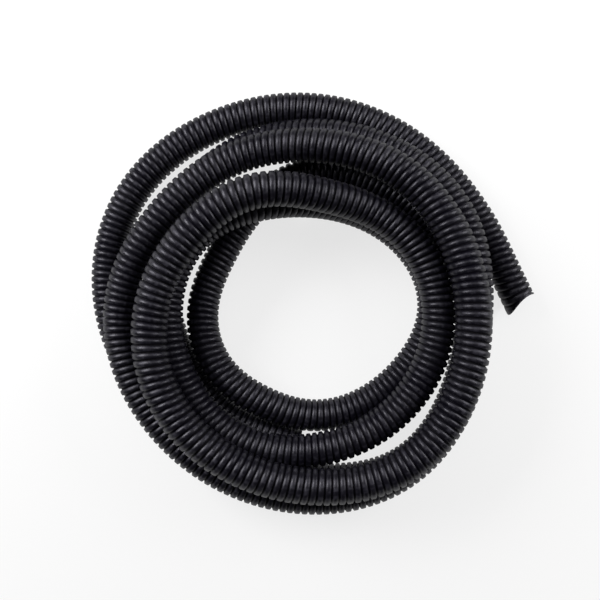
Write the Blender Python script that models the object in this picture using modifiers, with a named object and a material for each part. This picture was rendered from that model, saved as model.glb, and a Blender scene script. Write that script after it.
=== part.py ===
"""A vacuum hose for a pool: one black spiral-ribbed plastic tube with two bare cut
ends, lying on the ground in a loose coil of a little over five and a half turns.

Metres, +Z up. The ground is z = 0, and the origin is under the middle of the coil.
The hose is one moulding, so its stretches are rigidly set end to end.
"""

import math

import bmesh
import bpy
import numpy as np
from mathutils import Matrix, Vector

# The wall of the hose, from the bore outwards.
BORE_DIAMETER = 0.032
WALL = 0.0012
RIB_HEIGHT = 0.0028
RIB_PITCH = 0.0082
HOSE_DIAMETER = BORE_DIAMETER + 2 * (WALL + RIB_HEIGHT)

# The two ends, where the ribs and the bore are open to view.
OPEN_END_LENGTH = 0.058
TUCKED_END_LENGTH = 0.040
CUT_SLANT = math.radians(10)  # the open end was cut a little off square, by hand
SLANTED_REACH = 0.018  # how far in from the cut the ribs still lean with it
JOINT_GAP = 0.0003  # between the faces of two stretches

# How the hose lies. One row is one turn, from the open end to the tucked one. Each
# pair is a place 30 degrees after the last: the distance from the middle of the coil
# and the height of the hose's centre line, both in hose diameters.
STATION_ANGLE = 30
TURNS = (
    ((6.40, 0.50), (5.98, 0.50), (6.10, 0.50), (6.40, 0.50), (6.70, 0.50), (6.95, 0.50),
     (6.60, 0.50), (5.98, 0.50), (5.59, 0.50), (5.51, 0.50), (5.72, 0.50), (5.27, 0.50)),
    ((4.97, 0.50), (4.75, 0.50), (4.52, 0.50), (4.37, 0.50), (3.85, 0.50), (3.47, 0.50),
     (3.58, 0.66), (3.56, 0.97), (3.37, 0.92), (3.41, 0.71), (3.43, 0.55), (3.56, 0.50)),
    ((3.81, 0.50), (3.66, 0.50), (3.40, 0.60), (3.31, 1.02), (3.59, 1.56), (4.25, 1.53),
     (4.52, 1.52), (4.58, 1.55), (4.57, 1.55), (4.25, 1.53), (4.00, 1.46), (3.81, 1.52)),
    ((3.69, 1.54), (3.55, 1.56), (3.35, 1.67), (3.32, 2.16), (3.77, 2.60), (4.17, 2.57),
     (4.65, 2.54), (4.94, 2.56), (4.97, 2.52), (5.02, 2.42), (5.05, 2.44), (4.67, 2.50)),
    ((4.39, 2.50), (4.42, 2.34), (4.65, 2.11), (4.81, 1.85), (5.16, 1.53), (5.42, 1.55),
     (5.92, 1.44), (5.84, 1.53), (5.71, 1.54), (5.68, 1.52), (5.55, 1.53), (5.05, 1.53)),
    ((4.81, 1.54), (5.13, 1.47), (5.30, 1.28), (5.42, 0.95), (5.58, 0.56), (5.34, 0.50),
     (4.84, 0.50), (4.51, 0.50), (4.40, 0.50), (4.12, 0.50)),
)
COIL_CENTRE = (0.068, -0.386)

# The stretches of the coil, each with the turn angle at which it begins.
FIRST_ANGLE = 14
CORNER_ANGLE = 24
STRETCH_STARTS = {
    "first_turn": FIRST_ANGLE,
    "second_turn": 372,
    "third_turn": 732,
    "fourth_turn": 1092,
    "fifth_turn": 1452,
    "under_run": 1812,
}
LAST_ANGLE = 2050

TUBE_SIDES = 12  # round a plain stretch
END_SIDES = 24  # round a ribbed end
RINGS_A_RIB = 6
HOSE_COLOUR = (0.018, 0.018, 0.021, 1.0)
HOSE_ROUGHNESS = 0.42


def clear_scene():
    for thing in list(bpy.data.objects):
        bpy.data.objects.remove(thing, do_unlink=True)


def parts_collection():
    parts = bpy.data.collections.new("vacuum_hose")
    bpy.context.scene.collection.children.link(parts)
    return parts


def hose_plastic():
    material = bpy.data.materials.new("black_hose_plastic")
    material.use_nodes = True
    shader = material.node_tree.nodes["Principled BSDF"]
    shader.inputs["Base Color"].default_value = HOSE_COLOUR
    shader.inputs["Roughness"].default_value = HOSE_ROUGHNESS
    return material


def read_smoothly(values, place):
    """The natural cubic spline through evenly spaced values, read at a place counted in them."""
    values = np.asarray(values, float)
    inner = len(values) - 2
    spread = 4 * np.eye(inner) + np.eye(inner, k=1) + np.eye(inner, k=-1)
    bends = np.zeros(len(values))
    bends[1:-1] = np.linalg.solve(spread, values[2:] - 2 * values[1:-1] + values[:-2])
    before = min(max(int(place), 0), len(values) - 2)
    after = before + 1
    b = place - before
    a = 1 - b
    straight = a * values[before] + b * values[after]
    return straight + (a**3 - a) * bends[before] + (b**3 - b) * bends[after]


def centre_line(angle):
    """The hose's centre at a turn angle, counted in degrees from the first station."""
    stations = [station for turn in TURNS for station in turn]
    place = angle / STATION_ANGLE
    distance = read_smoothly([station[0] for station in stations], place)
    height = read_smoothly([station[1] for station in stations], place)
    x = COIL_CENTRE[0] + distance * math.cos(math.radians(angle))
    y = COIL_CENTRE[1] + distance * math.sin(math.radians(angle))
    return Vector((x, y, max(height, 0.5))) * HOSE_DIAMETER


def corners_between(first, last):
    """The turn angles of a stretch's corners, which every turn has at the same places."""
    return [angle for angle in range(0, LAST_ANGLE + 1, CORNER_ANGLE) if first < angle < last]


def joint_at(angle):
    """The middle of the straight run that a joint falls in, and the way that the run points."""
    before = centre_line(angle - angle % CORNER_ANGLE)
    after = centre_line(angle - angle % CORNER_ANGLE + CORNER_ANGLE)
    return (before + after) / 2, (after - before).normalized()


def tube_along(name, points, parts, plastic):
    """A closed round tube through the points, straight from each one to the next."""
    curve = bpy.data.curves.new(name, "CURVE")
    curve.dimensions = "3D"
    curve.twist_mode = "Z_UP"
    curve.bevel_depth = HOSE_DIAMETER / 2
    curve.bevel_resolution = TUBE_SIDES // 2 - 2
    curve.use_fill_caps = True
    spline = curve.splines.new("POLY")
    spline.points.add(len(points) - 1)
    for corner, point in zip(spline.points, points):
        corner.co = (*point, 1)
    curve.materials.append(plastic)
    tube = bpy.data.objects.new(name, curve)
    parts.objects.link(tube)
    return tube


def add_stretches(parts, plastic):
    """The plain stretches of the coil, set face to face. Returns the two faces left for the ends."""
    starts = list(STRETCH_STARTS.items())
    begin = centre_line(FIRST_ANGLE)
    open_face = (begin, (begin - centre_line(CORNER_ANGLE)).normalized())
    for (name, first), (_, last) in zip(starts, starts[1:] + [("", None)]):
        corners = [centre_line(angle) for angle in corners_between(first, last or LAST_ANGLE)]
        if last is None:
            finish = centre_line(LAST_ANGLE)
            tucked_face = (finish, (finish - corners[-1]).normalized())
            points = [begin, *corners, finish]
        else:
            joint, way = joint_at(last)
            points = [begin, *corners, joint - way * JOINT_GAP / 2]
            next_begin = joint + way * JOINT_GAP / 2
        tube_along(name, points, parts, plastic)
        begin = next_begin
    return open_face, tucked_face


def rib_wave(along, turn):
    """How far the spiral rib stands out, from 0 in a groove to 1 on a crest."""
    return 0.5 + 0.5 * math.cos(math.tau * (along / RIB_PITCH + turn))


def straight_wall(name, length):
    """The hose's wall before it is ribbed: a thin upright profile turned about Z."""
    rings = round(length / RIB_PITCH * RINGS_A_RIB)
    heights = [length * ring / rings for ring in range(rings + 1)]
    inner = BORE_DIAMETER / 2
    outer = inner + WALL
    profile = [(outer, z) for z in reversed(heights)] + [(inner, z) for z in heights]
    edges = [(i, (i + 1) % len(profile)) for i in range(len(profile))]
    mesh = bpy.data.meshes.new(name)
    mesh.from_pydata([(x, 0, z) for x, z in profile], edges, [])
    wall = bpy.data.objects.new(name, mesh)
    bpy.context.scene.collection.objects.link(wall)
    turned = wall.modifiers.new("turned", "SCREW")
    turned.steps = turned.render_steps = END_SIDES
    turned.use_merge_vertices = True
    turned.merge_threshold = 0.00001
    solid = bpy.data.meshes.new_from_object(wall.evaluated_get(bpy.context.evaluated_depsgraph_get()))
    bpy.data.objects.remove(wall)
    solid.name = name
    return solid


def ribbed_end(name, face, length, slant, parts, plastic):
    """An open end of the hose, with its spiral rib, from a joint's face out to the cut."""
    mesh = straight_wall(name, length)
    for vertex in mesh.vertices:
        x, y, along = vertex.co
        turn = math.atan2(y, x) / math.tau
        radius = math.hypot(x, y)
        ribbed = (radius + RIB_HEIGHT * rib_wave(along, turn)) / radius
        lean = max(0.0, 1 - (length - along) / SLANTED_REACH) * math.tan(slant)
        vertex.co = (x * ribbed, y * ribbed, along - lean * x * ribbed)
    mesh.shade_smooth()
    mesh.set_sharp_from_angle(angle=math.radians(50))
    mesh.materials.append(plastic)
    end = bpy.data.objects.new(name, mesh)
    start, way = face
    across = Vector((0, 0, 1)).cross(way).normalized()
    turn_to_way = Matrix((across, way.cross(across), way)).transposed().to_4x4()
    end.matrix_world = Matrix.Translation(start + way * JOINT_GAP) @ turn_to_way
    parts.objects.link(end)
    return end


def build_hose():
    clear_scene()
    parts = parts_collection()
    plastic = hose_plastic()
    open_face, tucked_face = add_stretches(parts, plastic)
    ribbed_end("open_end", open_face, OPEN_END_LENGTH, CUT_SLANT, parts, plastic)
    ribbed_end("tucked_end", tucked_face, TUCKED_END_LENGTH, 0.0, parts, plastic)


build_hose()
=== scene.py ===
# %% [markdown]
# # A pool vacuum hose, lying in a loose coil
# The real thing is one long tube of black plastic. A spiral rib runs round its
# wall from end to end, which keeps it from being sucked flat and lets it bend.
# Nothing is fixed to it: both ends are cut bare. So this lesson makes one piece,
# and the work is in three things: how the hose lies, the rib, and the plastic.

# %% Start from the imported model
import math

import bpy
import numpy as np
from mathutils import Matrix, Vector


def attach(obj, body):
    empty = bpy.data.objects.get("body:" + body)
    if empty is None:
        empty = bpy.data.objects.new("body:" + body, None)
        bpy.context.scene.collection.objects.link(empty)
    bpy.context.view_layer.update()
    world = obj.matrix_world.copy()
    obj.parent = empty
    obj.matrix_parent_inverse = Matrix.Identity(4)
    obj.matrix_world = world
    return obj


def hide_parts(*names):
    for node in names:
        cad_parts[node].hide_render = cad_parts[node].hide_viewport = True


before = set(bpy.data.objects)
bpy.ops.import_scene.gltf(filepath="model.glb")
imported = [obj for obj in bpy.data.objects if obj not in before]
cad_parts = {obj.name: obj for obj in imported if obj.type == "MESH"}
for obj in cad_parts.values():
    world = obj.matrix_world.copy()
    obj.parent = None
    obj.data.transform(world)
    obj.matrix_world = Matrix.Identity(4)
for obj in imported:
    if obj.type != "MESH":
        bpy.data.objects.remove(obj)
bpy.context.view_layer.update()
stretches = sorted(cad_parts)
print("stretches of hose to dress:", ", ".join(stretches))

# %% [markdown]
# ## The camera
# The coil is looked at from straight above, and from close by, so the turns on
# top of the pile look a little larger than those on the ground. A wide lens near
# the object gives that look. A longer lens further off would flatten it.

# %% Place the camera over the coil
CAMERA_HEIGHT = 0.64
CAMERA_PLACE = (-0.0167, -0.0051)
LENS = 28.8
SENSOR_WIDTH = 36.0

camera_data = bpy.data.cameras.new("overhead_camera")
camera_data.lens = LENS
camera_data.sensor_width = SENSOR_WIDTH
camera = bpy.data.objects.new("overhead_camera", camera_data)
camera.location = (*CAMERA_PLACE, CAMERA_HEIGHT)
bpy.context.scene.collection.objects.link(camera)
bpy.context.scene.camera = camera
print("the camera looks straight down from", CAMERA_HEIGHT, "m")

# %% [markdown]
# ## How the hose lies
# A hose is stiff, so it lies in wide turns that rest on each other, and where one
# turn crosses another it climbs over in a long low hump. Dropping a simulated
# hose would give some coil, but not this one. So the turns are written down as the
# distance from the coil's middle and the height of the hose's centre, every 30
# degrees, both counted in hose diameters. A cubic spline through them gives a
# line with no corners, as a stiff tube would lie.

# %% The hose's own sizes, in metres
BORE_DIAMETER = 0.032
WALL = 0.0012
RIB_HEIGHT = 0.0028
RIB_PITCH = 0.0082
HOSE_DIAMETER = BORE_DIAMETER + 2 * (WALL + RIB_HEIGHT)
print("the hose is", round(HOSE_DIAMETER * 1000, 1), "mm across its ribs")

# %% The turns of the coil
STATION_ANGLE = 30
FIRST_ANGLE = 14
LAST_ANGLE = 2050
COIL_CENTRE = (0.068, -0.386)
ON_THE_GROUND = 0.5
TURNS = (
    ((6.40, 0.50), (5.98, 0.50), (6.10, 0.50), (6.40, 0.50), (6.70, 0.50), (6.95, 0.50),
     (6.60, 0.50), (5.98, 0.50), (5.59, 0.50), (5.51, 0.50), (5.72, 0.50), (5.27, 0.50)),
    ((4.97, 0.50), (4.75, 0.50), (4.52, 0.50), (4.37, 0.50), (3.85, 0.50), (3.47, 0.50),
     (3.58, 0.66), (3.56, 0.97), (3.37, 0.92), (3.41, 0.71), (3.43, 0.55), (3.56, 0.50)),
    ((3.81, 0.50), (3.66, 0.50), (3.40, 0.60), (3.31, 1.02), (3.59, 1.56), (4.25, 1.53),
     (4.52, 1.52), (4.58, 1.55), (4.57, 1.55), (4.25, 1.53), (4.00, 1.46), (3.81, 1.52)),
    ((3.69, 1.54), (3.55, 1.56), (3.35, 1.67), (3.32, 2.16), (3.77, 2.60), (4.17, 2.57),
     (4.65, 2.54), (4.94, 2.56), (4.97, 2.52), (5.02, 2.42), (5.05, 2.44), (4.67, 2.50)),
    ((4.39, 2.50), (4.42, 2.34), (4.65, 2.11), (4.81, 1.85), (5.16, 1.53), (5.42, 1.55),
     (5.92, 1.44), (5.84, 1.53), (5.71, 1.54), (5.68, 1.52), (5.55, 1.53), (5.05, 1.53)),
    ((4.81, 1.54), (5.13, 1.47), (5.30, 1.28), (5.42, 0.95), (5.58, 0.56), (5.34, 0.50),
     (4.84, 0.50), (4.51, 0.50), (4.40, 0.50), (4.12, 0.50)),
)


def read_smoothly(values, places):
    """The natural cubic spline through evenly spaced values, read at places counted in them."""
    values = np.asarray(values, float)
    inner = len(values) - 2
    ties = 4 * np.eye(inner) + np.eye(inner, k=1) + np.eye(inner, k=-1)
    bends = np.zeros(len(values))
    bends[1:-1] = np.linalg.solve(ties, values[2:] - 2 * values[1:-1] + values[:-2])
    before = np.clip(places.astype(int), 0, len(values) - 2)
    b = places - before
    a = 1 - b
    straight = a * values[before] + b * values[before + 1]
    return straight + (a**3 - a) * bends[before] + (b**3 - b) * bends[before + 1]


def centre_line(angles):
    """The hose's centre at these turn angles, in metres, one row for each."""
    stations = np.array([station for turn in TURNS for station in turn])
    places = np.asarray(angles, float) / STATION_ANGLE
    distance = read_smoothly(stations[:, 0], places)
    height = np.maximum(read_smoothly(stations[:, 1], places), ON_THE_GROUND)
    turned = np.radians(angles)
    x = COIL_CENTRE[0] + distance * np.cos(turned)
    y = COIL_CENTRE[1] + distance * np.sin(turned)
    return np.stack([x, y, height], axis=1) * HOSE_DIAMETER


print("the hose goes round", round((LAST_ANGLE - FIRST_ANGLE) / 360, 2), "times")

# %% [markdown]
# ## The bare ends
# The last hand's breadth of a hose has nothing beyond it to pull it round, so each
# end is straight and runs on the way the hose reached it. Both are joined to the
# coil in one chain of evenly spaced points, because the wall will be bent round
# that chain. The slight corner at each joint is then eased by moving every point
# near it towards the mean of its neighbours, a few times over.

# %% Helpers for the route
ROUTE_SPACING = 0.005
STRAIGHT_POINTS = 12
EASED_REACH = 0.050
EASING_PASSES = 14


def straight_end(joint, inner, length):
    """Points of a bare end, which runs on from a joint the way the hose reached it."""
    way = (joint - inner) / np.linalg.norm(joint - inner)
    distances = np.linspace(length, ROUTE_SPACING, STRAIGHT_POINTS)
    return [joint + way * distance for distance in distances]


def evenly_spaced(points, spacing):
    """The same line, with its points this far apart along it."""
    steps = np.linalg.norm(np.diff(points, axis=0), axis=1)
    reached = np.concatenate([[0], np.cumsum(steps)])
    places = np.linspace(0, reached[-1], round(reached[-1] / spacing) + 1)
    return np.stack([np.interp(places, reached, points[:, axis]) for axis in range(3)], axis=1)


def ease_corner(points, middle):
    """Rounds off the slight corner where a straight end meets the turns."""
    reach = round(EASED_REACH / ROUTE_SPACING)
    zone = slice(max(1, middle - reach), min(len(points) - 1, middle + reach))
    for _ in range(EASING_PASSES):
        ahead = points[zone.start + 1 : zone.stop + 1]
        behind = points[zone.start - 1 : zone.stop - 1]
        points[zone] = (points[zone] * 2 + ahead + behind) / 4


print("the route has a point every", ROUTE_SPACING * 1000, "mm")

# %% Join both ends to the coil
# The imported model's tubes have a corner every 24 degrees, and its ends run on from
# the last corner at either side, so these do too.
OPEN_END_LENGTH = 0.058
TUCKED_END_LENGTH = 0.040
CORNER_ANGLE = 24
ROUTE_ANGLE_STEP = 1.5

turn_angles = np.arange(FIRST_ANGLE, LAST_ANGLE + ROUTE_ANGLE_STEP / 2, ROUTE_ANGLE_STEP)
coil = centre_line(turn_angles)
first_corner = centre_line([CORNER_ANGLE])[0]
last_corner = centre_line([(LAST_ANGLE - 1) // CORNER_ANGLE * CORNER_ANGLE])[0]
open_end = straight_end(coil[0], first_corner, OPEN_END_LENGTH)
tucked_end = straight_end(coil[-1], last_corner, TUCKED_END_LENGTH)[::-1]
route = evenly_spaced(np.array([*open_end, *coil, *tucked_end]), ROUTE_SPACING)
ease_corner(route, round(OPEN_END_LENGTH / ROUTE_SPACING))
ease_corner(route, len(route) - 1 - round(TUCKED_END_LENGTH / ROUTE_SPACING))

# %% [markdown]
# ## Three helpers for building node trees
# The wall and its plastic are both made with nodes. Nodes are easier to read in a
# script when each is added, fed and linked in one call, so three small helpers come
# first. A feed is either a plain value or the output of another node.

# %% Helpers for node trees


def add_node(tree, kind, feeds=(), **settings):
    """Adds a node with its settings, and feeds its inputs by name or number."""
    made = tree.nodes.new(kind)
    for name, value in settings.items():
        setattr(made, name, value)
    for key, value in dict(feeds).items():
        if isinstance(value, bpy.types.NodeSocket):
            tree.links.new(value, made.inputs[key])
        else:
            made.inputs[key].default_value = value
    return made


def calculate(tree, operation, *values):
    return add_node(tree, "ShaderNodeMath", enumerate(values), operation=operation).outputs[0]


def calculate_vector(tree, operation, first, second=(0, 0, 0)):
    """A sum of vectors. Scale takes a number as its second value, and Length gives one."""
    key = "Scale" if operation == "SCALE" else 1
    made = add_node(tree, "ShaderNodeVectorMath", {0: first, key: second}, operation=operation)
    return made.outputs["Value" if operation == "LENGTH" else "Vector"]


print("helpers ready")

# %% [markdown]
# ## The ribbed wall, by Geometry Nodes
# The rib could be a second tube wound round a plain one, but on the real hose it
# is the wall itself that swells, so the wall is made as one grid of points bent
# round the route. The grid's rows go out along the outside, over the cut edge, and
# back along the bore, and the last row meets the first, which leaves one closed
# wall with two open mouths. Outside, each row follows the spiral, so crests and
# grooves keep their shape with few points. In the bore the rows run square across:
# close together near the mouths, where the ribs can be seen, and far apart in the
# middle, where nobody looks. The spiral is left-handed.

# %% The tree's inputs
# Lengths are in metres, and Plain Bore Step is in rib pitches. A wave runs along
# the hose and rises to 1 in the middle of each groove. The groove starts where the
# wave passes Groove Starts, and is fully deep past Groove Ends. Rings Crowding
# moves the rows towards the grooves.
HOSE_INPUTS = {
    "Bore Radius": BORE_DIAMETER / 2,
    "Wall Thickness": WALL,
    "Rib Height": RIB_HEIGHT,
    "Rib Pitch": RIB_PITCH,
    "Groove Starts": 0.80,
    "Groove Ends": 0.97,
    "Crest Rounding": 0.10,
    "Cut Slant": math.tan(math.radians(16)),
    "Slanted Reach": 0.030,
    "Mouth Hollow": 0.0055,
    "Mouth Tips": 0.003,
    "Rim Reach": 0.005,
    "Ribbed Bore": 0.05,
    "Sides": 22,
    "Rings A Rib": 5,
    "Rings Crowding": 0.08,
    "Bore Rings A Rib": 8,
    "Plain Bore Step": 4,
    "Plastic": None,
}
SOCKET_KINDS = {float: "NodeSocketFloat", int: "NodeSocketInt", type(None): "NodeSocketMaterial"}

hose_tree = bpy.data.node_groups.new("ribbed_hose_wall", "GeometryNodeTree")
hose_tree.is_modifier = True
hose_tree.interface.new_socket("Route", in_out="INPUT", socket_type="NodeSocketGeometry")
hose_tree.interface.new_socket("Wall", in_out="OUTPUT", socket_type="NodeSocketGeometry")
identifiers = {
    name: hose_tree.interface.new_socket(
        name, in_out="INPUT", socket_type=SOCKET_KINDS[type(value)]
    ).identifier
    for name, value in HOSE_INPUTS.items()
}
print("the wall's inputs:", ", ".join(identifiers))

# %% Count the rows of the grid
# The rows of the outside run a pitch past the end, because they slant, and two
# spare ones make sure that the last of them lies whole on the far rim.
SPARE_ROWS = 2

inputs = hose_tree.nodes.new("NodeGroupInput").outputs
pitch = inputs["Rib Pitch"]
route_curve = add_node(
    hose_tree, "GeometryNodeMeshToCurve", {"Mesh": inputs["Route"]}
).outputs["Curve"]
length = add_node(hose_tree, "GeometryNodeCurveLength", {"Curve": route_curve}).outputs["Length"]


def sums(operation, *values):
    return calculate(hose_tree, operation, *values)


fine_step = sums("DIVIDE", pitch, inputs["Rings A Rib"])
reach = sums("ADD", length, pitch)
outer_rows = sums("ADD", sums("CEIL", sums("DIVIDE", reach, fine_step)), SPARE_ROWS)
bore_step = sums("DIVIDE", pitch, inputs["Bore Rings A Rib"])
fine_rows = sums("CEIL", sums("DIVIDE", inputs["Ribbed Bore"], bore_step))
plain_bore = sums("SUBTRACT", reach, sums("MULTIPLY", sums("MULTIPLY", fine_rows, 2), bore_step))
plain_step = sums("MULTIPLY", pitch, inputs["Plain Bore Step"])
plain_rows = sums("CEIL", sums("DIVIDE", plain_bore, plain_step))
plain_step = sums("DIVIDE", plain_bore, plain_rows)
inner_rows = sums("ADD", sums("MULTIPLY_ADD", fine_rows, 2, plain_rows), 1)
all_rows = sums("ADD", outer_rows, inner_rows)
points_a_row = sums("ADD", inputs["Sides"], 1)
grid = add_node(
    hose_tree,
    "GeometryNodeMeshGrid",
    {"Vertices X": sums("ADD", all_rows, 1), "Vertices Y": points_a_row},
).outputs["Mesh"]
print("the grid has", len(hose_tree.nodes), "nodes behind it so far")

# %% Tell each point its row and its share of the way round
# Half is added to a whole number, or taken from it, before it is compared or cut
# down, so that a rounding error can't move a point to the next row.
HALF = 0.5

index = add_node(hose_tree, "GeometryNodeInputIndex").outputs["Index"]
row_in_grid = sums("FLOOR", sums("DIVIDE", sums("ADD", index, HALF), points_a_row))
place_in_row = sums("SUBTRACT", index, sums("MULTIPLY", row_in_grid, points_a_row))
round_share = sums("DIVIDE", place_in_row, inputs["Sides"])
row = sums("MODULO", row_in_grid, all_rows)
in_bore = sums("GREATER_THAN", row, sums("SUBTRACT", outer_rows, HALF))
outside = sums("SUBTRACT", 1, in_bore)
turned = sums("MULTIPLY", round_share, math.tau)
print("every point now has a row and an angle")

# %% Turn the row into a distance along the hose
# Outside, the distance grows row by row and falls by a pitch in one time round,
# which makes the spiral. In the bore it comes back, in fine, coarse and fine steps.
outer_run = sums("MULTIPLY", row, fine_step)
crowding = sums("SINE", sums("MULTIPLY", sums("DIVIDE", outer_run, pitch), math.tau))
crowding = sums("MULTIPLY", crowding, sums("MULTIPLY", pitch, inputs["Rings Crowding"]))
outer_run = sums("ADD", outer_run, crowding)
bore_row = sums("MAXIMUM", sums("SUBTRACT", row, outer_rows), 0)
past_first = sums("MAXIMUM", sums("SUBTRACT", bore_row, fine_rows), 0)
in_plain = sums("MINIMUM", past_first, plain_rows)
past_plain = sums("SUBTRACT", past_first, in_plain)
in_fine = sums("ADD", sums("MINIMUM", bore_row, fine_rows), past_plain)
come_back = sums("MULTIPLY_ADD", in_fine, bore_step, sums("MULTIPLY", in_plain, plain_step))
bore_run = sums("SUBTRACT", reach, come_back)
run = sums("MULTIPLY_ADD", in_bore, sums("SUBTRACT", bore_run, outer_run), outer_run)
helix = sums("MULTIPLY", pitch, outside)
along = sums("SUBTRACT", run, sums("MULTIPLY", helix, round_share))
print("the rows lie along the hose")

# %% Cut both ends
# The open end was cut by hand, and its rim is drawn back above and below, like a
# fish's mouth. Points that lie past a cut are moved back onto it.
height_share = sums("SINE", turned)
upright = sums("MULTIPLY", height_share, height_share)
cut_back = sums("MULTIPLY", inputs["Mouth Hollow"], upright)
along = sums("MAXIMUM", sums("MINIMUM", along, length), cut_back)
print("the open mouth is hollow by", HOSE_INPUTS["Mouth Hollow"] * 1000, "mm")

# %% Swell the wall into the spiral rib
# The rib is a wide rounded crest with a narrow groove beside it. The groove fades
# out at the rims, so their edges are clean. The bore has ribs near its mouths only.
BORE_RIBS_FADE_IN = 0.025

phase = sums("ADD", sums("DIVIDE", along, pitch), round_share)
wave = sums("ABSOLUTE", sums("SINE", sums("MULTIPLY", phase, math.pi)))
groove_width = sums("SUBTRACT", inputs["Groove Ends"], inputs["Groove Starts"])
groove = sums("DIVIDE", sums("SUBTRACT", wave, inputs["Groove Starts"]), groove_width)
groove = sums("MINIMUM", sums("MAXIMUM", groove, 0), 1)
rounding = sums("SUBTRACT", sums("POWER", wave, 2), groove)
groove = sums("MULTIPLY_ADD", inputs["Crest Rounding"], rounding, groove)
to_mouth = sums("MINIMUM", sums("SUBTRACT", along, cut_back), sums("SUBTRACT", length, along))
past_rim = sums("MINIMUM", sums("DIVIDE", to_mouth, inputs["Rim Reach"]), 1)
rib = sums("SUBTRACT", 1, sums("MULTIPLY", groove, past_rim))
near_mouth = sums("SUBTRACT", inputs["Ribbed Bore"], to_mouth)
near_mouth = sums("MULTIPLY", near_mouth, 1 / BORE_RIBS_FADE_IN)
near_mouth = add_node(hose_tree, "ShaderNodeClamp", {"Value": near_mouth}).outputs[0]
swelling = sums("MAXIMUM", near_mouth, outside)
thickness = sums("MULTIPLY", inputs["Wall Thickness"], outside)
radius = sums("ADD", inputs["Bore Radius"], thickness)
rib_here = sums("MULTIPLY", inputs["Rib Height"], rib)
radius = sums("MULTIPLY_ADD", rib_here, swelling, radius)
print("the rib stands", RIB_HEIGHT * 1000, "mm out, every", round(RIB_PITCH * 1000, 1), "mm")

# %% Lay the straight hose along the route
sample = add_node(
    hose_tree,
    "GeometryNodeSampleCurve",
    {"Curves": route_curve, "Length": along},
    mode="LENGTH",
)
tangent = sample.outputs["Tangent"]


def vectors(operation, *values):
    return calculate_vector(hose_tree, operation, *values)


sideways = vectors("NORMALIZE", vectors("CROSS_PRODUCT", tangent, (0, 0, 1)))
upwards = vectors("CROSS_PRODUCT", tangent, sideways)
across = sums("MULTIPLY", radius, sums("COSINE", turned))
raised = sums("MULTIPLY", radius, height_share)
offset = vectors("ADD", vectors("SCALE", sideways, across), vectors("SCALE", upwards, raised))
print("the wall is bent round the route")

# %% Slant the open mouth
# The cut also slants across the hose, and a tip stands out at each side of it. The
# last ribs lean with the cut, less and less the further they are from it.
near_cut = sums("SUBTRACT", 1, sums("DIVIDE", along, inputs["Slanted Reach"]))
near_cut = sums("MAXIMUM", near_cut, 0)
tips = sums("MULTIPLY", inputs["Mouth Tips"], sums("SUBTRACT", 1, upright))
lean = sums("SUBTRACT", sums("MULTIPLY", inputs["Cut Slant"], across), tips)
offset = vectors("ADD", offset, vectors("SCALE", tangent, sums("MULTIPLY", lean, near_cut)))
place = vectors("ADD", sample.outputs["Position"], offset)
print("the ribs lean over the last", HOSE_INPUTS["Slanted Reach"] * 1000, "mm")

# %% Close the wall and mark it for the plastic
# Two values go along for the material: each point's place on the straight hose,
# and how far the rib stands out there. The seams are closed by merging the points
# that meet there.
MERGE_DISTANCE = 0.00003

straight_place = add_node(
    hose_tree, "ShaderNodeCombineXYZ", {"X": across, "Y": raised, "Z": along}
).outputs[0]
wall = grid
for name, value, kind in (
    ("straight", straight_place, "FLOAT_VECTOR"),
    ("rib", rib, "FLOAT"),
):
    wall = add_node(
        hose_tree,
        "GeometryNodeStoreNamedAttribute",
        {"Geometry": wall, "Name": name, "Value": value},
        data_type=kind,
        domain="POINT",
    ).outputs["Geometry"]
for kind, feeds in (
    ("SetPosition", {"Position": place}),
    ("MergeByDistance", {"Distance": MERGE_DISTANCE}),
    ("FlipFaces", {}),
    ("RealizeInstances", {}),
    ("SetMaterial", {"Material": inputs["Plastic"]}),
):
    wall = add_node(hose_tree, "GeometryNode" + kind, {0: wall, **feeds}).outputs[0]
hose_tree.links.new(wall, hose_tree.nodes.new("NodeGroupOutput").inputs["Wall"])
print("the wall's tree has", len(hose_tree.nodes), "nodes")

# %% [markdown]
# ## The plastic
# Hoses like this are blown from black polyethylene. It is not quite black, and it
# has a dull gloss. Handling scuffs the crests paler and rougher in patches, and a
# film of dust sits in the grooves. One even black would look like a drawing, so
# colour, roughness and grain are mottled. The patterns read the place that each
# point had on the straight hose, so they follow the wall round every bend.

# %% Helpers for the plastic
plastic = bpy.data.materials.new("black_hose_plastic")
plastic.use_nodes = True
skin = plastic.node_tree
shader = skin.nodes["Principled BSDF"]


def skin_sums(operation, *values):
    return calculate(skin, operation, *values)


def blend(factor, first, second):
    """Goes from the first colour to the second."""
    feeds = {0: factor, 6: first, 7: second}
    return add_node(skin, "ShaderNodeMix", feeds, data_type="RGBA").outputs[2]


def spread(value, low, high, to_low=0, to_high=1):
    """Goes from to_low, where the value is low, to to_high, where it is high, and no further."""
    feeds = {"Value": value, "From Min": low, "From Max": high, "To Min": to_low, "To Max": to_high}
    return add_node(skin, "ShaderNodeMapRange", feeds).outputs["Result"]


def mottle(a_metre, detail, stretch=(1, 1, 1)):
    """Noise with this many spots to a metre of hose."""
    on_hose = add_node(skin, "ShaderNodeAttribute", attribute_name="straight").outputs["Vector"]
    placed = add_node(skin, "ShaderNodeMapping", {"Vector": on_hose, "Scale": stretch})
    feeds = {"Vector": placed.outputs[0], "Scale": a_metre, "Detail": detail}
    return add_node(skin, "ShaderNodeTexNoise", feeds).outputs["Fac"]


crest = add_node(skin, "ShaderNodeAttribute", attribute_name="rib").outputs["Fac"]
patches = mottle(a_metre=18, detail=3)
scuffs = mottle(a_metre=220, detail=5, stretch=(1, 1, 0.5))
grain = mottle(a_metre=1400, detail=2)
print("patches, scuffs and grain are ready")

# %% Colour: black, scuffed crests and dusty grooves
PLASTIC_COLOUR = (0.0036, 0.0032, 0.0060, 1.0)
SCUFFED_COLOUR = (0.019, 0.018, 0.025, 1.0)
DUST_COLOUR = (0.0075, 0.0072, 0.0078, 1.0)

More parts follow.
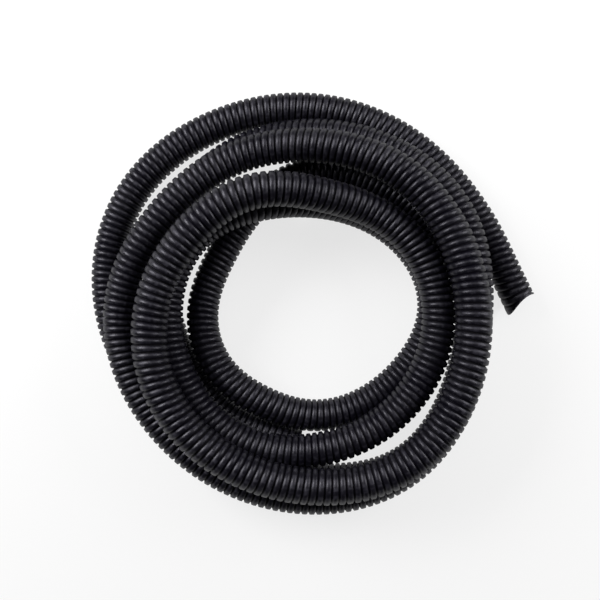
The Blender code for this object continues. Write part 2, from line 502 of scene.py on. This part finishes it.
worn = skin_sums("MULTIPLY", spread(crest, 0.6, 1.0), spread(scuffs, 0.48, 0.66))
dusty = skin_sums("MULTIPLY", spread(crest, 0.5, 0.0), spread(patches, 0.35, 0.7))
colour = blend(worn, PLASTIC_COLOUR, SCUFFED_COLOUR)
colour = blend(dusty, colour, DUST_COLOUR)
skin.links.new(colour, shader.inputs["Base Color"])
print("the plastic has", len(skin.nodes), "nodes so far")

# %% Roughness, gloss and grain
# The gloss is weak in the grooves and where the wall turns edge-on, so that the
# ribs don't end in bright points. Its level on the socket serves where the link
# is dropped.
SMOOTH_PATCH, ROUGH_PATCH = 0.34, 0.42
DUST_ROUGHENS = 0.25
SCUFFS_ROUGHEN = 0.14
MEAN_GLOSS = 0.30
GROOVE_GLOSS, CREST_GLOSS = 0.04, 0.38
EDGE_ON_SHARE = 0.15
LEAST_PATCH_SHARE, MOST_PATCH_SHARE = 0.85, 1.15
GLOSS_TINT = (0.91, 0.89, 1.0, 1.0)
SCUFF_DEPTH_SHARE = 0.6
GRAIN_STRENGTH = 0.20
GRAIN_DEPTH = 0.0004

roughness = spread(patches, 0.3, 0.7, SMOOTH_PATCH, ROUGH_PATCH)
roughness = skin_sums("ADD", roughness, skin_sums("MULTIPLY", dusty, DUST_ROUGHENS))
roughness = skin_sums("ADD", roughness, skin_sums("MULTIPLY", worn, SCUFFS_ROUGHEN))
skin.links.new(roughness, shader.inputs["Roughness"])
edge_on = add_node(skin, "ShaderNodeLayerWeight", {"Blend": 0.5}).outputs["Facing"]
gloss = spread(crest, 0.30, 0.80, GROOVE_GLOSS, CREST_GLOSS)
gloss = skin_sums("MULTIPLY", gloss, spread(edge_on, 0.40, 0.90, 1.0, EDGE_ON_SHARE))
patch_share = spread(patches, 0.35, 0.65, LEAST_PATCH_SHARE, MOST_PATCH_SHARE)
gloss = skin_sums("MULTIPLY", gloss, patch_share)
shader.inputs["Specular IOR Level"].default_value = MEAN_GLOSS
skin.links.new(gloss, shader.inputs["Specular IOR Level"])
shader.inputs["Specular Tint"].default_value = GLOSS_TINT
uneven = skin_sums("ADD", grain, skin_sums("MULTIPLY", scuffs, SCUFF_DEPTH_SHARE))
feeds = {"Height": uneven, "Strength": GRAIN_STRENGTH, "Distance": GRAIN_DEPTH}
bump = add_node(skin, "ShaderNodeBump", feeds)
skin.links.new(bump.outputs["Normal"], shader.inputs["Normal"])
print("the plastic has", len(skin.nodes), "nodes")

# %% [markdown]
# ## Make the hose
# The route becomes a chain of points for the tree to bend the wall round. A live
# modifier would be worked out again at each change of the scene, so the tree's
# result is kept as a plain mesh, and the chain is thrown away.

# %% Run the tree on the route
chain = bpy.data.meshes.new("hose_route")
chain.from_pydata(route.tolist(), [(i, i + 1) for i in range(len(route) - 1)], [])
maker = bpy.data.objects.new("hose_route", chain)
bpy.context.scene.collection.objects.link(maker)
modifier = maker.modifiers.new("ribbed wall", "NODES")
modifier.node_group = hose_tree
for name, value in HOSE_INPUTS.items():
    modifier[identifiers[name]] = plastic if value is None else value
maker.update_tag()
evaluated = maker.evaluated_get(bpy.context.evaluated_depsgraph_get())
hose_mesh = bpy.data.meshes.new_from_object(evaluated)
hose_mesh.name = "hose"
hose = bpy.data.objects.new("hose", hose_mesh)
bpy.context.scene.collection.objects.link(hose)
bpy.data.objects.remove(maker)
hose_mesh.shade_smooth()
hose_mesh.calc_loop_triangles()
print("the hose has", len(hose_mesh.loop_triangles), "triangles")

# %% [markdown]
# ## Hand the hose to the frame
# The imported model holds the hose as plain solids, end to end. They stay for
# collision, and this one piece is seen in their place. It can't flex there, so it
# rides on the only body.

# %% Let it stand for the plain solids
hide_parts(*stretches)
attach(hose, "root")
print("the hose stands for", len(stretches), "solids")

# %% [markdown]
# ## Floor and light
# The hose lies on a plain white floor. The floor shows white to the camera and in
# reflections, and still takes a faint shadow near the hose, which fades away
# further off. Black plastic is seen by what it reflects, so it needs large soft
# lights: one at the left and one at the right, which draw a bright line along
# each turn, and a wide one above, beyond the coil. The room is nearly dark to the
# hose, so that the grooves stay black, and white to the camera.

# %% The floor
FLOOR_SIZE = 40.0
FLOOR_COLOUR = (0.9, 0.9, 0.9, 1)
WHITE = (1, 1, 1, 1)
SHADOW_SHARE = 0.25
SHADOW_FADES_FROM = 0.30
SHADOW_ENDS_AT = 1.2

bpy.ops.mesh.primitive_plane_add(size=FLOOR_SIZE, location=(0, 0, 0))
floor = bpy.context.object
floor.name = "floor"
paper = bpy.data.materials.new("white_floor")
paper.use_nodes = True
paper_tree = paper.node_tree
paper_tree.nodes.clear()
matt = add_node(paper_tree, "ShaderNodeBsdfDiffuse", {"Color": FLOOR_COLOUR})
glow = add_node(paper_tree, "ShaderNodeEmission", {"Color": WHITE, "Strength": 1.0})
rays = add_node(paper_tree, "ShaderNodeLightPath").outputs
seen = calculate(paper_tree, "MAXIMUM", rays["Is Camera Ray"], rays["Is Glossy Ray"])
seen = calculate(paper_tree, "MAXIMUM", seen, rays["Is Transmission Ray"])
on_floor = add_node(paper_tree, "ShaderNodeTexCoord").outputs["Object"]
fade = {
    "Value": calculate_vector(paper_tree, "LENGTH", on_floor),
    "From Min": SHADOW_FADES_FROM,
    "From Max": SHADOW_ENDS_AT,
    "To Min": SHADOW_SHARE,
    "To Max": 0.0,
}
shadow = add_node(paper_tree, "ShaderNodeMapRange", fade, interpolation_type="SMOOTHSTEP")
lit = calculate(paper_tree, "SUBTRACT", 1, shadow.outputs["Result"])
share = calculate(paper_tree, "MULTIPLY", seen, lit)
mixed = add_node(
    paper_tree, "ShaderNodeMixShader", {0: share, 1: matt.outputs[0], 2: glow.outputs[0]}
)
add_node(paper_tree, "ShaderNodeOutputMaterial", {"Surface": mixed.outputs[0]})
floor.data.materials.append(paper)
print("the floor is", FLOOR_SIZE, "m wide")

# %% The lights
# Each has a name, a place and a size in metres, and a power in watts.
LIGHTS = (
    ("left_light", (-0.95, 0.55, 0.85), (0.8, 0.5), 19.5),
    ("right_light", (1.1, 0.45, 0.75), (0.9, 0.6), 12),
    ("top_light", (-0.1, 0.85, 1.4), (2.0, 1.2), 8),
)

for name, spot, size, watts in LIGHTS:
    lamp = bpy.data.lights.new(name, "AREA")
    lamp.shape = "RECTANGLE"
    lamp.size, lamp.size_y = size
    lamp.energy = watts
    light = bpy.data.objects.new(name, lamp)
    light.location = spot
    light.rotation_mode = "QUATERNION"
    light.rotation_quaternion = (-Vector(spot)).to_track_quat("-Z", "Y")
    bpy.context.scene.collection.objects.link(light)
print(len(LIGHTS), "soft lights")

# %% The room
ROOM_TO_HOSE = 0.05
ROOM_TO_CAMERA = 1.0

world = bpy.data.worlds.new("studio")
world.use_nodes = True
bpy.context.scene.world = world
air = world.node_tree
background = air.nodes["Background"]
to_camera = add_node(air, "ShaderNodeLightPath").outputs["Is Camera Ray"]
strength = calculate(air, "MULTIPLY_ADD", to_camera, ROOM_TO_CAMERA - ROOM_TO_HOSE, ROOM_TO_HOSE)
background.inputs["Color"].default_value = WHITE
air.links.new(strength, background.inputs["Strength"])
bpy.context.scene.view_settings.view_transform = "Standard"
print("a white room that gives little light")
